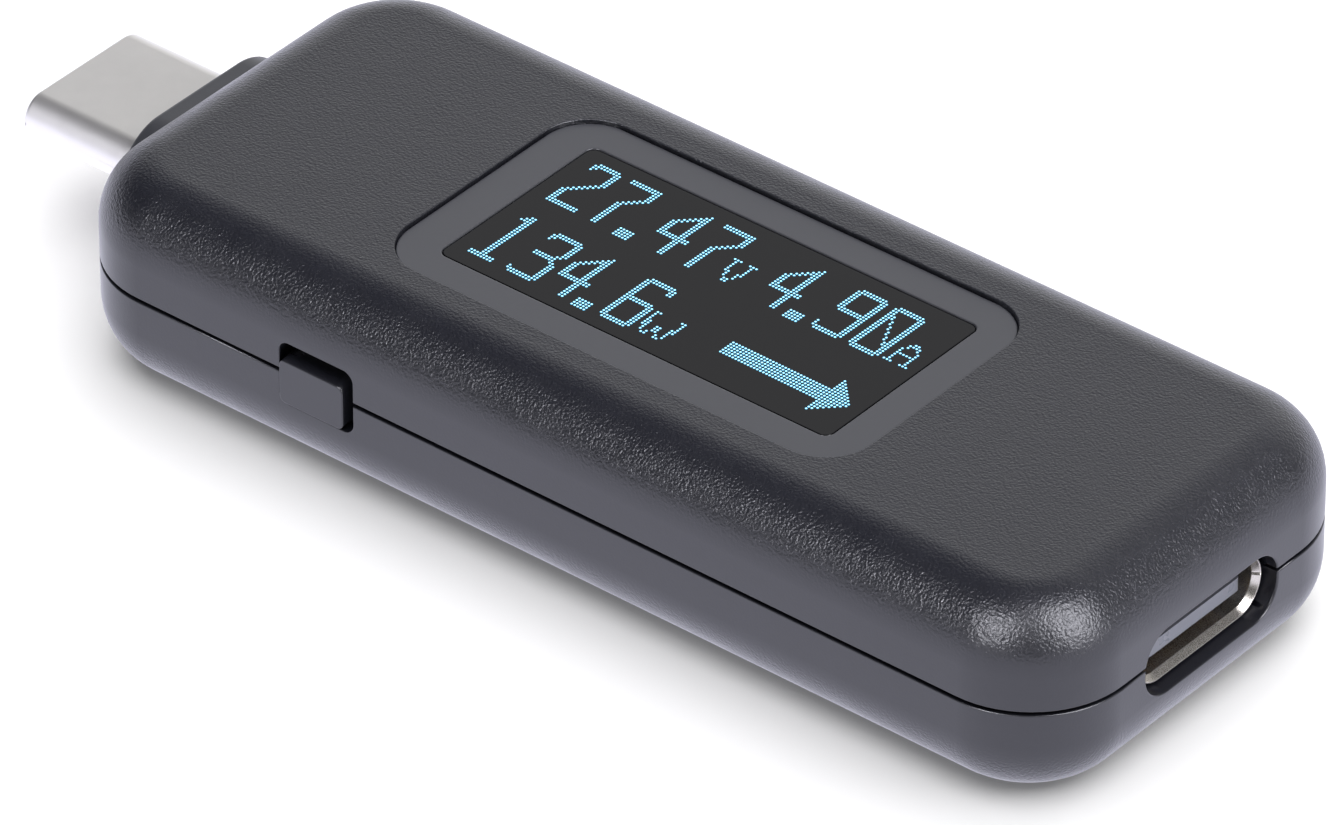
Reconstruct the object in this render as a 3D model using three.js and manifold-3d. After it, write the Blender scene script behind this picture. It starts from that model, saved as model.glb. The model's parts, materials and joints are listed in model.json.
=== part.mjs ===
// An inline USB-C power meter: a plug at one end, a socket at the other, and a small display on top.
// Millimetres. +X points from the plug to the socket, -Y is the side with the button, +Z is up.
// The origin is the centre of the casing's flat underside.

import * as THREE from "three";
import * as BufferGeometryUtils from "three/addons/utils/BufferGeometryUtils.js";
import Module from "manifold-3d";

const wasm = await Module();
wasm.setup();

// ---- driving dimensions ----

// Clearances
const FIT = 0.04; // between parts that sit in each other
const STACK = 0.03; // between parts that lie on each other
const THROUGH = 1; // how far a cutter runs past what it cuts

// Casing
const CASE_LENGTH = 57.2;
const CASE_WIDTH = 23.1;
const CASE_HEIGHT = 10.3;
const CASE_CORNER = 5.1;
const CASE_WALL = 1.4;
const CASE_SKIN = 1.2; // floor and roof
const EDGE_RISE = 3.3; // height of the rounded edges
const TOP_EDGE = 3.15; // how far they reach in from the side
const BOTTOM_EDGE = 2.8;
const INNER_EDGE = 2.1;
const INNER_RISE = 2.3;
const PARTING_Z = 5.18;
const PARTING_GAP = 0.18;
const LOWER_RIM = PARTING_Z - PARTING_GAP / 2;
const UPPER_RIM = PARTING_Z + PARTING_GAP / 2;
const WALL_Y = CASE_WIDTH / 2 - CASE_WALL; // side wall's inner face
const ROOF_Z = CASE_HEIGHT - CASE_SKIN; // roof's underside
const LIP_HEIGHT = 0.6;
const LIP_OUTER = 0.75; // lip's outer face, in from the casing's side
const LIP_GAP = 0.12;
const BEAD_LENGTH = 4;
const BEAD_HEIGHT = 0.24;
const BEAD_DEPTH = 0.2;
const BEAD_XS = [-18, 0, 18];

// Display
const DISPLAY_X = 0.1;
const WINDOW_X = 0.25;
const PANEL_LENGTH = 26.4;
const PANEL_WIDTH = 14.6;
const PANEL_CORNER = 2.5;
const PANEL_TOP = CASE_HEIGHT - 0.2;
const PANEL_THICK = 0.52;
const RECESS_FLOOR = PANEL_TOP - PANEL_THICK - STACK;
const WINDOW_LENGTH = 22.33;
const WINDOW_WIDTH = 10.86;
const WINDOW_CORNER = 0.45;
const LEDGE = 0.6; // how far the recess's floor reaches in under the panel past the window
const GLASS_LENGTH = 26.7;
const GLASS_THICK = 0.7;
const FRONT_GLASS_Y = [-7.3, 8.9];
const REAR_GLASS_Y = [-7.3, 5.7];
const POLARISER_SIZE = [24.2, 12.6, 0.2];
const FRONT_GLASS_TOP = ROOF_Z - FIT - POLARISER_SIZE[2] - 2 * STACK;
const REAR_GLASS_TOP = FRONT_GLASS_TOP - GLASS_THICK - STACK;
const REAR_GLASS_BOTTOM = REAR_GLASS_TOP - GLASS_THICK;
const DRIVER_SIZE = [10, 0.9, 0.3];
const DRIVER_Y = 6.65;
const RIBBON_WIDTH = 8;
const RIBBON_THICK = 0.12;
const RIBBON_BEND = 0.7;
const RIBBON_BACK_Y = 9.4;
const RIBBON_BOND_Y = 7.7;
const RIBBON_FOOT_Y = 7.2;
const FOAM_SIZE = [24, 10];

// Circuit board
const BOARD_TOP = 5.35;
const BOARD_THICK = 0.8;
const BOARD_BOTTOM = BOARD_TOP - BOARD_THICK;
const BOARD_X = [-24.4, 26.9];
const BOARD_WIDTH = 19.7;
const BOARD_CORNER = 3;
const POST_RADIUS = 1;
const PEG_RADIUS = 0.8;
const POST_XS = [-21.5, 22.4];
const POST_Y = 7.6;
const SOCKET_NOTCH = [19.8, 9.4]; // where it starts along X, and its width
const SWITCH_NOTCH_X = [-16.2, -9.9];
const SWITCH_NOTCH_Y = -8.9;

// Button and switch
const BUTTON_OPENING_X = [-15.05, -10.75];
const BUTTON_OPENING_Z = [3.5, 6.8];
const BUTTON_OPENING_CORNER = 0.5;
const BUTTON_X = [-14.97, -11.25];
const BUTTON_Z = [3.58, 6.1];
const BUTTON_CORNER = 0.5;
const BUTTON_PROUD = 0.1;
const BUTTON_EDGE = 0.3;
const FLANGE_X = [-15.7, -10.4];
const FLANGE_Z = [3, 7];
const FLANGE_Y = [-10.1, -9.45];
const SWITCH_X = -13.1;
const SWITCH_SIZE = [3.9, 2.8, 1.57];
const SWITCH_FRONT_Y = -8.4;
const SWITCH_WALL = 0.22;
const POCKET_HALF = 1.25;
const POCKET_DEPTH = 1.5;
const POCKET_PLAY = 0.3; // pocket's height beyond the plunger's
const PLUNGER_Z = 6.17;
const PLUNGER_SHAFT = [1.5, 0.8]; // width and height
const PLUNGER_SHOULDER = 2.1;
const PLUNGER_BACK_Y = -7.65;
const PLUNGER_SHOULDER_Y = -8.1;
const COVER_THICK = 0.15;
const LEAF_HALF = 1.1;
const LEAF_SAG = 0.6;
const LEAF_THICK = 0.08;
const LEAF_HEIGHT = 0.9;
const LEAF_Y = -7;

// Plug
const PLUG_Z = 5.06;
const PLUG_TIP = -37.13;
const PLUG_BACK = -26;
const PLUG_WIDTH = 8.25;
const PLUG_HEIGHT = 2.4;
const PLUG_WALL = 0.35;
const PLUG_TIP_EDGE = 0.14;
const COLLAR_FRONT = -29.98;
const COLLAR_SIZE = [11.3, 5.8];
const COLLAR_EDGE = 0.2;
const COLLAR_FLANGE_X = [-26.65, -26.1];
const COLLAR_FLANGE_SIZE = [12.8, 6.2];
const PLUG_CORE_X = [-36.85, -25.5];
const PLUG_CORE_SIZE = [7, 1.64];
const PLUG_CORE_CORNER = 0.8;
const MOUTH_DEPTH = 6.2;
const MOUTH_HEIGHT = 1.1;
const LATCH_Y = [3.5, 3.7];
const LATCH_HEIGHT = 0.6;
const LATCH_X = [-36.2, -26.4];
const LATCH_HOOK = 0.45;

// Socket
const SOCKET_Z = 4.85;
const SOCKET_OPENING = [9.45, 3.45];
const SOCKET_OPENING_CORNER = 1.6;
const SOCKET_X = [20.6, 27.9];
const SOCKET_SIZE = [8.94, 3.16];
const SOCKET_WALL = 0.3;
const SOCKET_CORE_X = [20.9, 22.4];
const TONGUE_STEP = [23.3, 1.2]; // where it ends along X, and its thickness
const TONGUE_FRONT = 27.6;
const TONGUE_CORNER = 0.3; // in plan, at its front
const TONGUE_WIDTH = 6.69;
const TONGUE_THICK = 0.7;
const MID_PLATE_X = [21.4, 27];
const MID_PLATE_WIDTH = 6.9;
const MID_PLATE_THICK = 0.15;
const SHELL_TAB = [1.2, 1.45, 0.22];
const SHELL_TAB_XS = [21.7, 25.2];

// Contacts
const CONTACT_COUNT = 12;
const CONTACT_PITCH = 0.5;
const CONTACT_WIDTH = 0.26;
const CONTACT_BAR = 0.2;
const CONTACT_BAR_PROUD = 0.05;
const CONTACT_SLOT_HALF = 2.98;
const PLUG_CONTACT = [0.38, 0.5]; // a contact's lower and upper face above the connector's middle
const SOCKET_CONTACT = [0.37, 0.45];
const PLUG_BLADE_X = [-36.3, -25.1];
const PLUG_TAIL_X = [-25.1, -23.3];
const SOCKET_BLADE_X = [20.35, 26.9];
const SOCKET_TAIL_X = [18.9, 20.35];
const TAIL_THICK = 0.08;
const TAIL_TOP = [BOARD_TOP + 2 * STACK, BOARD_TOP + 2 * STACK + TAIL_THICK];
const TAIL_BOTTOM = [BOARD_BOTTOM - 2 * STACK - TAIL_THICK, BOARD_BOTTOM - 2 * STACK];

// Electronics. Each size is length, width and height; each place is x and y on the board.
const MICROCONTROLLER = { x: -4, y: 0, size: [6.5, 4.4, 1], legs: 10, pitch: 0.65 };
const AMPLIFIER = { x: 11, y: 3, size: [2.9, 1.6, 1.1], legs: 3, pitch: 0.95 };
const REGULATOR = { x: -14, y: 4, size: [2.9, 1.6, 1.1], legs: 3, pitch: 0.95 };
const INDUCTOR = { x: -19, y: 1, size: [3.6, 3.6, 1.8] };
const SHUNT = { x: 16.4, y: 0, size: [3.2, 6.3, 0.6] };
const SURGE_DIODE = { x: -20.5, y: -3.6, size: [4.3, 2.6, 2] };
const CRYSTAL = { x: -4, y: 5, size: [3.2, 2.5, 0.7] };
const CAPACITOR_SIZE = [2, 1.25, 1.1];
const CAPACITOR_PLACES = [[-20, 5.4], [-10.5, -4], [6, -4], [16, -5]];
const RESISTOR_SIZE = [1.6, 0.8, 0.5];
const RESISTOR_PLACES = [[2.5, 3], [2.5, 5], [6, 1.5], [11, -1.5], [-10, 2.5], [-10, 5]];
const LEG_REACH = 0.9;
const LEG_THICK = 0.16;
const LEG_STANDOFF = 0.06;
const INDUCTOR_FLANGE = 0.5;
const END_CAP_SHARE = 0.2; // how much of a chip part's length each end cap covers

// Roundness
const CORNER_STEPS = 6;
const CASE_EDGE_STEPS = 5;
const SMALL_EDGE_STEPS = 2;
const POST_SIDES = 16;

// ---- materials: each has a colour, and a roughness or an opacity ----

function plastic(color, roughness) {
  return new THREE.MeshStandardMaterial({ color, roughness, metalness: 0 });
}

function metal(color, roughness) {
  return new THREE.MeshStandardMaterial({ color, roughness, metalness: 1 });
}

function glass(color, opacity) {
  return new THREE.MeshStandardMaterial({
    color,
    roughness: 0.08,
    metalness: 0,
    transparent: true,
    opacity,
  });
}

const MATERIALS = {
  casing: plastic(0x4b4c50, 0.55),
  panel: plastic(0x5e5f63, 0.45),
  button: plastic(0x45464a, 0.5),
  collar: plastic(0x36373a, 0.5),
  nickel: metal(0xc8c5c1, 0.3),
  gold: metal(0xd4af5a, 0.25),
  tongue: plastic(0x6d6f78, 0.5),
  blackPlastic: plastic(0x1d1d1f, 0.5),
  lens: glass(0x9aa0a8, 0.35),
  screen: glass(0x15161a, 0.9),
  polyimide: plastic(0x8a5a1e, 0.4),
  foam: plastic(0x2b2b2d, 0.95),
  board: plastic(0x123a2a, 0.4),
  ceramic: plastic(0xb49a78, 0.5),
  chip: plastic(0x202124, 0.45),
};

// ---- shapes ----

function roundedRectangle(width, height, radius) {
  const x = width / 2;
  const y = height / 2;
  const shape = new THREE.Shape();
  shape.moveTo(x - radius, -y);
  shape.absarc(x - radius, -y + radius, radius, -Math.PI / 2, 0);
  shape.absarc(x - radius, y - radius, radius, 0, Math.PI / 2);
  shape.absarc(-x + radius, y - radius, radius, Math.PI / 2, Math.PI);
  shape.absarc(-x + radius, -y + radius, radius, Math.PI, (3 * Math.PI) / 2);
  shape.closePath();
  return shape;
}

// A plate from bottom to top, with its outline in plan.
function plate(shape, bottom, top) {
  const options = { depth: top - bottom, bevelEnabled: false, curveSegments: CORNER_STEPS };
  return new THREE.ExtrudeGeometry(shape, options).translate(0, 0, bottom);
}

// A plate with rounded edges: reach is how far the edge comes in from the side, rise its height.
function softPlate(shape, bottom, top, reach, rise, steps = SMALL_EDGE_STEPS) {
  const geometry = new THREE.ExtrudeGeometry(shape, {
    depth: top - bottom - 2 * rise,
    bevelEnabled: true,
    bevelSize: reach,
    bevelOffset: -reach,
    bevelThickness: rise,
    bevelSegments: steps,
    curveSegments: CORNER_STEPS,
  });
  return geometry.translate(0, 0, bottom + rise);
}

// Stands a plate up, so that its outline's width lies along Y, its height along Z, its depth along X.
function alongX(geometry) {
  return geometry.rotateX(Math.PI / 2).rotateZ(Math.PI / 2);
}

// Lays a plate on its side, so that its outline lies in X and Z and its depth runs along -Y.
function sideways(geometry) {
  return geometry.rotateX(Math.PI / 2);
}

// A block between two corners.
function block(xs, ys, zs) {
  const geometry = new THREE.BoxGeometry(xs[1] - xs[0], ys[1] - ys[0], zs[1] - zs[0]);
  return geometry.translate((xs[0] + xs[1]) / 2, (ys[0] + ys[1]) / 2, (zs[0] + zs[1]) / 2);
}

function span(centre, size) {
  return [centre - size / 2, centre + size / 2];
}

function post(x, y, bottom, top, radius) {
  const geometry = new THREE.CylinderGeometry(radius, radius, top - bottom, POST_SIDES);
  return geometry.rotateX(Math.PI / 2).translate(x, y, (bottom + top) / 2);
}

// ---- joining and cutting ----

function solid(geometry) {
  const bare = geometry.clone();
  bare.deleteAttribute("normal");
  bare.deleteAttribute("uv");
  const merged = BufferGeometryUtils.mergeVertices(bare);
  const mesh = new wasm.Mesh({
    numProp: 3,
    vertProperties: new Float32Array(merged.getAttribute("position").array),
    triVerts: new Uint32Array(merged.getIndex().array),
  });
  return new wasm.Manifold(mesh);
}

function surface(manifold) {
  const mesh = manifold.getMesh();
  const geometry = new THREE.BufferGeometry();
  geometry.setAttribute("position", new THREE.BufferAttribute(mesh.vertProperties, 3));
  geometry.setIndex(new THREE.BufferAttribute(mesh.triVerts, 1));
  geometry.computeVertexNormals();
  return geometry;
}

function join(base, ...others) {
  return surface(others.reduce((sum, other) => sum.add(solid(other)), solid(base)));
}

function cut(base, ...others) {
  return surface(others.reduce((rest, other) => rest.subtract(solid(other)), solid(base)));
}

function keep(base, region) {
  return surface(solid(base).intersect(solid(region)));
}

// ---- casing ----

function caseOutline(inset) {
  return roundedRectangle(
    CASE_LENGTH - 2 * inset,
    CASE_WIDTH - 2 * inset,
    CASE_CORNER - inset,
  );
}

// The whole casing as one block, its rounded edges reaching in by edge.
function caseBlock(edge) {
  return softPlate(caseOutline(0), 0, CASE_HEIGHT, edge, EDGE_RISE, CASE_EDGE_STEPS);
}

function caseInside() {
  const outline = caseOutline(CASE_WALL);
  return softPlate(outline, CASE_SKIN, ROOF_Z, INNER_EDGE, INNER_RISE, CASE_EDGE_STEPS);
}

function slab(bottom, top) {
  const reach = CASE_LENGTH;
  return block([-reach, reach], [-reach, reach], [bottom, top]);
}

function socketOpening() {
  const shape = roundedRectangle(...SOCKET_OPENING, SOCKET_OPENING_CORNER);
  const start = SOCKET_X[1] - CASE_WALL - THROUGH;
  return alongX(plate(shape, start, CASE_LENGTH / 2 + THROUGH)).translate(0, 0, SOCKET_Z);
}

function collarOpening() {
  const [width, height] = COLLAR_SIZE.map((size) => size + 2 * FIT);
  const shape = roundedRectangle(width, height, height / 2);
  return alongX(plate(shape, COLLAR_FRONT, COLLAR_FLANGE_X[1])).translate(0, 0, PLUG_Z);
}

function buttonOpening() {
  const [x0, x1] = BUTTON_OPENING_X;
  const [z0, z1] = BUTTON_OPENING_Z;
  const shape = roundedRectangle(x1 - x0, z1 - z0, BUTTON_OPENING_CORNER);
  const outside = CASE_WIDTH / 2 + THROUGH;
  return sideways(plate(shape, WALL_Y - THROUGH / 2, outside))
    .translate((x0 + x1) / 2, 0, (z0 + z1) / 2);
}

function eachPost(make) {
  return POST_XS.flatMap((x) => [-POST_Y, POST_Y].map((y) => make(x, y)));
}

// The lip stands on the lower shell's rim, behind the upper shell's wall.
function lip() {
  const outer = plate(caseOutline(LIP_OUTER), LOWER_RIM - STACK, LOWER_RIM + LIP_HEIGHT);
  const inner = plate(caseOutline(CASE_WALL), LOWER_RIM - THROUGH, LOWER_RIM + THROUGH);
  return cut(outer, inner);
}

// The snap beads on the lip. With play around them, they are the pockets that the beads catch in.
function beads(play) {
  const outer = CASE_WIDTH / 2 - LIP_OUTER;
  const middle = LOWER_RIM + LIP_HEIGHT / 2;
  const ys = [outer - BEAD_DEPTH / 2, outer + BEAD_DEPTH + play];
  return BEAD_XS.flatMap((x) => [-1, 1].map((side) => block(
    span(x, BEAD_LENGTH + 2 * play),
    side > 0 ? ys : [-ys[1], -ys[0]],
    span(middle, BEAD_HEIGHT + 2 * play),
  )));
}

function lowerShell() {
  const tray = cut(keep(caseBlock(BOTTOM_EDGE), slab(0, LOWER_RIM)), caseInside());
  const support = BOARD_BOTTOM - STACK;
  const posts = eachPost((x, y) => post(x, y, CASE_SKIN / 2, support, POST_RADIUS));
  const filled = join(tray, lip(), ...beads(0), ...posts);
  return cut(filled, socketOpening(), collarOpening(), buttonOpening());
}

function upperShell() {
  const lid = cut(keep(caseBlock(TOP_EDGE), slab(UPPER_RIM, CASE_HEIGHT)), caseInside());
  const rebateTop = LOWER_RIM + LIP_HEIGHT + LIP_GAP;
  const rebate = plate(caseOutline(LIP_OUTER - LIP_GAP), PARTING_Z - THROUGH, rebateTop);
  const pegs = eachPost((x, y) => post(x, y, BOARD_TOP + STACK, ROOF_Z + CASE_SKIN / 2, PEG_RADIUS));
  const recess = plate(
    roundedRectangle(PANEL_LENGTH + 2 * FIT, PANEL_WIDTH + 2 * FIT, PANEL_CORNER + FIT),
    RECESS_FLOOR,
    CASE_HEIGHT + THROUGH,
  ).translate(DISPLAY_X, 0, 0);
  const sight = plate(
    roundedRectangle(WINDOW_LENGTH + 2 * LEDGE, WINDOW_WIDTH + 2 * LEDGE, WINDOW_CORNER),
    ROOF_Z - THROUGH,
    CASE_HEIGHT,
  ).translate(WINDOW_X, 0, 0);
  const openings = [recess, sight, socketOpening(), collarOpening(), buttonOpening()];
  return cut(join(cut(lid, rebate, ...beads(LIP_GAP)), ...pegs), ...openings);
}

// ---- display ----

function windowOutline(play) {
  return roundedRectangle(WINDOW_LENGTH - 2 * play, WINDOW_WIDTH - 2 * play, WINDOW_CORNER - play);
}

function displayFrame() {
  const outline = roundedRectangle(PANEL_LENGTH, PANEL_WIDTH, PANEL_CORNER);
  const bottom = PANEL_TOP - PANEL_THICK;
  const opening = plate(windowOutline(0), bottom - THROUGH, PANEL_TOP + THROUGH);
  opening.translate(WINDOW_X, 0, 0);
  return cut(plate(outline, bottom, PANEL_TOP).translate(DISPLAY_X, 0, 0), opening);
}

function displayLens() {
  const bottom = PANEL_TOP - PANEL_THICK;
  return plate(windowOutline(FIT), bottom, PANEL_TOP - FIT).translate(WINDOW_X, 0, 0);
}

function oledPolariser() {
  const [length, width, thick] = POLARISER_SIZE;
  const bottom = FRONT_GLASS_TOP + STACK;
  return block(span(WINDOW_X, length), span(0, width), [bottom, bottom + thick]);
}

function oledFrontGlass() {
  const zs = [FRONT_GLASS_TOP - GLASS_THICK, FRONT_GLASS_TOP];
  return block(span(WINDOW_X, GLASS_LENGTH), FRONT_GLASS_Y, zs);
}

function oledRearGlass() {
  return block(span(WINDOW_X, GLASS_LENGTH), REAR_GLASS_Y, [REAR_GLASS_BOTTOM, REAR_GLASS_TOP]);
}

// The driver chip hangs under the ledge of the front glass that the rear one leaves free.
function oledDriver() {
  const [length, width, thick] = DRIVER_SIZE;
  const zs = [REAR_GLASS_TOP - thick, REAR_GLASS_TOP];
  return block(span(WINDOW_X, length), span(DRIVER_Y, width), zs);
}

// The ribbon leaves the ledge, turns down behind the display, and turns back onto the board.
function oledRibbon() {
  const top = REAR_GLASS_TOP;
  const foot = BOARD_TOP + 2 * STACK;
  const bendY = RIBBON_BACK_Y - RIBBON_BEND;
  const inner = RIBBON_BEND - RIBBON_THICK;
  const shape = new THREE.Shape();
  shape.moveTo(RIBBON_BOND_Y, top);
  shape.lineTo(bendY, top);
  shape.absarc(bendY, top - RIBBON_BEND, RIBBON_BEND, Math.PI / 2, 0, true);
  shape.absarc(bendY, foot + RIBBON_BEND, RIBBON_BEND, 0, -Math.PI / 2, true);
  shape.lineTo(RIBBON_FOOT_Y, foot);
  shape.lineTo(RIBBON_FOOT_Y, foot + RIBBON_THICK);
  shape.absarc(bendY, foot + RIBBON_BEND, inner, -Math.PI / 2, 0, false);
  shape.absarc(bendY, top - RIBBON_BEND, inner, 0, Math.PI / 2, false);
  shape.lineTo(RIBBON_BOND_Y, top - RIBBON_THICK);
  shape.closePath();
  const [start, end] = span(WINDOW_X, RIBBON_WIDTH);
  return alongX(plate(shape, start, end));
}

function foamPad() {
  const [length, width] = FOAM_SIZE;
  const zs = [BOARD_TOP + STACK, REAR_GLASS_BOTTOM - STACK];
  return block(span(WINDOW_X, length), span(0, width), zs);
}

// ---- circuit board ----

function circuitBoard() {
  const [start, end] = BOARD_X;
  const outline = roundedRectangle(end - start, BOARD_WIDTH, BOARD_CORNER);
  const board = plate(outline, BOARD_BOTTOM, BOARD_TOP).translate((start + end) / 2, 0, 0);
  const zs = [BOARD_BOTTOM - THROUGH, BOARD_TOP + THROUGH];
  const [notchX, notchWidth] = SOCKET_NOTCH;
  const socketNotch = block([notchX, end + THROUGH], span(0, notchWidth), zs);
  const switchNotch = block(SWITCH_NOTCH_X, [-BOARD_WIDTH, SWITCH_NOTCH_Y], zs);
  return cut(board, socketNotch, switchNotch);
}

// ---- button and switch ----

// The cap fills the opening from inside and is kept in by its flange.
function buttonCap() {
  const [x0, x1] = BUTTON_X;
  const [z0, z1] = BUTTON_Z;
  const outline = roundedRectangle(x1 - x0, z1 - z0, BUTTON_CORNER);
  const front = CASE_WIDTH / 2 + BUTTON_PROUD;
  const head = sideways(softPlate(outline, -FLANGE_Y[0] - BUTTON_EDGE, front, BUTTON_EDGE, BUTTON_EDGE));
  head.translate((x0 + x1) / 2, 0, (z0 + z1) / 2);
  return join(head, block(FLANGE_X, FLANGE_Y, FLANGE_Z));
}

function switchBody() {
  const [width, depth, height] = SWITCH_SIZE;
  const bottom = BOARD_TOP + STACK;
  const back = SWITCH_FRONT_Y + depth;
  const body = block(span(SWITCH_X, width), [SWITCH_FRONT_Y, back], [bottom, bottom + height]);
  const [shaftWidth, shaftHeight] = PLUNGER_SHAFT;
  const pocket = block(
    span(SWITCH_X, 2 * POCKET_HALF),
    [SWITCH_FRONT_Y + SWITCH_WALL, SWITCH_FRONT_Y + POCKET_DEPTH],
    span(PLUNGER_Z, shaftHeight + POCKET_PLAY),
  );
  const mouth = block(
    span(SWITCH_X, shaftWidth + 2 * FIT),
    [SWITCH_FRONT_Y - THROUGH, SWITCH_FRONT_Y + THROUGH],
    span(PLUNGER_Z, shaftHeight + 2 * FIT),
  );
  return cut(body, pocket, mouth);
}

// A bent sheet over the body, with a leg down each side to the board.
function switchCover() {
  const [width, depth, height] = SWITCH_SIZE;
  const bottom = BOARD_TOP + STACK;
  const half = width / 2 + STACK;
  const top = bottom + height + STACK;
  const ys = [SWITCH_FRONT_Y, SWITCH_FRONT_Y + depth];
  const outer = block(span(SWITCH_X, 2 * (half + COVER_THICK)), ys, [bottom, top + COVER_THICK]);
  const inner = block(span(SWITCH_X, 2 * half), [ys[0] - THROUGH, ys[1] + THROUGH], [bottom - THROUGH, top]);
  return cut(outer, inner);
}

function switchPlunger() {
  const [width, height] = PLUNGER_SHAFT;
  const zs = span(PLUNGER_Z, height);
  const shaft = block(span(SWITCH_X, width), [FLANGE_Y[1] + STACK, PLUNGER_BACK_Y], zs);
  const shoulder = block(span(SWITCH_X, PLUNGER_SHOULDER), [PLUNGER_SHOULDER_Y, PLUNGER_BACK_Y], zs);
  return join(shaft, shoulder);
}

// The snap leaf: a thin sprung strip that bows towards the plunger.
function switchLeaf() {
  const shape = new THREE.Shape();
  shape.moveTo(-LEAF_HALF, 0);
  shape.quadraticCurveTo(0, -LEAF_SAG, LEAF_HALF, 0);
  shape.lineTo(LEAF_HALF, LEAF_THICK);
  shape.quadraticCurveTo(0, LEAF_THICK - LEAF_SAG, -LEAF_HALF, LEAF_THICK);
  shape.closePath();
  const [bottom, top] = span(PLUNGER_Z, LEAF_HEIGHT);
  return plate(shape, bottom, top).translate(SWITCH_X, LEAF_Y, 0);
}

// ---- plug ----

function stadium(width, height) {
  return roundedRectangle(width, height, height / 2);
}

// A tube of stadium section along X, with its outer edges rounded at both ends.
function tube(xs, size, wall, edge, z) {
  const [width, height] = size;
  const outer = alongX(softPlate(stadium(width, height), xs[0], xs[1], edge, edge));
  const bore = plate(stadium(width - 2 * wall, height - 2 * wall), xs[0] - THROUGH, xs[1] + THROUGH);
  return cut(outer, alongX(bore)).translate(0, 0, z);
}

function plugShell() {
  return tube([PLUG_TIP, PLUG_BACK], [PLUG_WIDTH, PLUG_HEIGHT], PLUG_WALL, PLUG_TIP_EDGE, PLUG_Z);
}

function plugCollar() {
  const [flangeStart, flangeEnd] = COLLAR_FLANGE_X;
  const nose = alongX(softPlate(stadium(...COLLAR_SIZE), COLLAR_FRONT, flangeEnd, COLLAR_EDGE, COLLAR_EDGE));
  const flange = alongX(plate(stadium(...COLLAR_FLANGE_SIZE), flangeStart, flangeEnd));
  const hole = stadium(PLUG_WIDTH + 2 * FIT, PLUG_HEIGHT + 2 * FIT);
  const channel = alongX(plate(hole, COLLAR_FRONT - THROUGH, flangeEnd + THROUGH));
  return cut(join(nose, flange), channel).translate(0, 0, PLUG_Z);
}

function contactSlot(xs, heights) {
  const [low, high] = [heights[0] - STACK, heights[1] + STACK];
  const ys = [-CONTACT_SLOT_HALF, CONTACT_SLOT_HALF];
  return [block(xs, ys, [low, high]), block(xs, ys, [-high, -low])];
}

function plugInsulator() {
  const [front, back] = PLUG_CORE_X;
  const core = alongX(plate(roundedRectangle(...PLUG_CORE_SIZE, PLUG_CORE_CORNER), front, back));
  const mouth = block(
    [front - THROUGH, front + MOUTH_DEPTH],
    span(0, PLUG_CORE_SIZE[0] + THROUGH),
    span(0, MOUTH_HEIGHT),
  );
  const slots = contactSlot([front + MOUTH_DEPTH - THROUGH, back + THROUGH], PLUG_CONTACT);
  return cut(core, mouth, ...slots).translate(0, 0, PLUG_Z);
}

// A side latch: a straight spring strip with a hook towards the mouth's middle at its tip.
function plugLatch(side) {
  const [tip, root] = LATCH_X;
  const [inner, outer] = LATCH_Y;
  const shape = new THREE.Shape();
  shape.moveTo(root, inner);
  shape.lineTo(root, outer);
  shape.lineTo(tip, outer);
  shape.lineTo(tip, inner);
  shape.lineTo(tip + LATCH_HOOK, inner - LATCH_HOOK);
  shape.lineTo(tip + 3 * LATCH_HOOK, inner);
  shape.closePath();
  const [bottom, top] = span(PLUG_Z, LATCH_HEIGHT);
  const strip = plate(shape, bottom, top);
  return side > 0 ? strip : strip.rotateX(Math.PI).translate(0, 0, 2 * PLUG_Z);
}

// ---- contacts ----

// A row of blades along X between the two ends, joined by a bar, with solder tails behind it.
// blade and tail are the lower and upper face of each, measured along Z.
function contactRow(bladeXs, tailXs, blade, tail) {
  const barX = tailXs[0] > bladeXs[0] ? bladeXs[1] : bladeXs[0];
  const first = -((CONTACT_COUNT - 1) * CONTACT_PITCH) / 2;
  const barZ = [
    Math.min(blade[0], tail[0]) - CONTACT_BAR_PROUD,
    Math.max(blade[1], tail[1]) + CONTACT_BAR_PROUD,
  ];
  const barY = span(0, CONTACT_COUNT * CONTACT_PITCH);
  const bar = block(span(barX, CONTACT_BAR), barY, barZ);
  const pieces = [];
  for (let i = 0; i < CONTACT_COUNT; i += 1) {
    const ys = span(first + i * CONTACT_PITCH, CONTACT_WIDTH);
    pieces.push(block(bladeXs, ys, blade));
    pieces.push(block(tailXs, ys, tail));
  }
  return join(bar, ...pieces);
}

function mirrorHeights([low, high]) {
  return [-high, -low];
}

function above(z, [low, high]) {
  return [z + low, z + high];
}

function plugContactsUpper() {
  return contactRow(PLUG_BLADE_X, PLUG_TAIL_X, above(PLUG_Z, PLUG_CONTACT), TAIL_TOP);
}

function plugContactsLower() {
  const blade = above(PLUG_Z, mirrorHeights(PLUG_CONTACT));
  return contactRow(PLUG_BLADE_X, PLUG_TAIL_X, blade, TAIL_BOTTOM);
}

function socketContactsUpper() {
  return contactRow(SOCKET_BLADE_X, SOCKET_TAIL_X, above(SOCKET_Z, SOCKET_CONTACT), TAIL_TOP);
}

function socketContactsLower() {
  const blade = above(SOCKET_Z, mirrorHeights(SOCKET_CONTACT));
  return contactRow(SOCKET_BLADE_X, SOCKET_TAIL_X, blade, blade);
}

// ---- socket ----

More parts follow.
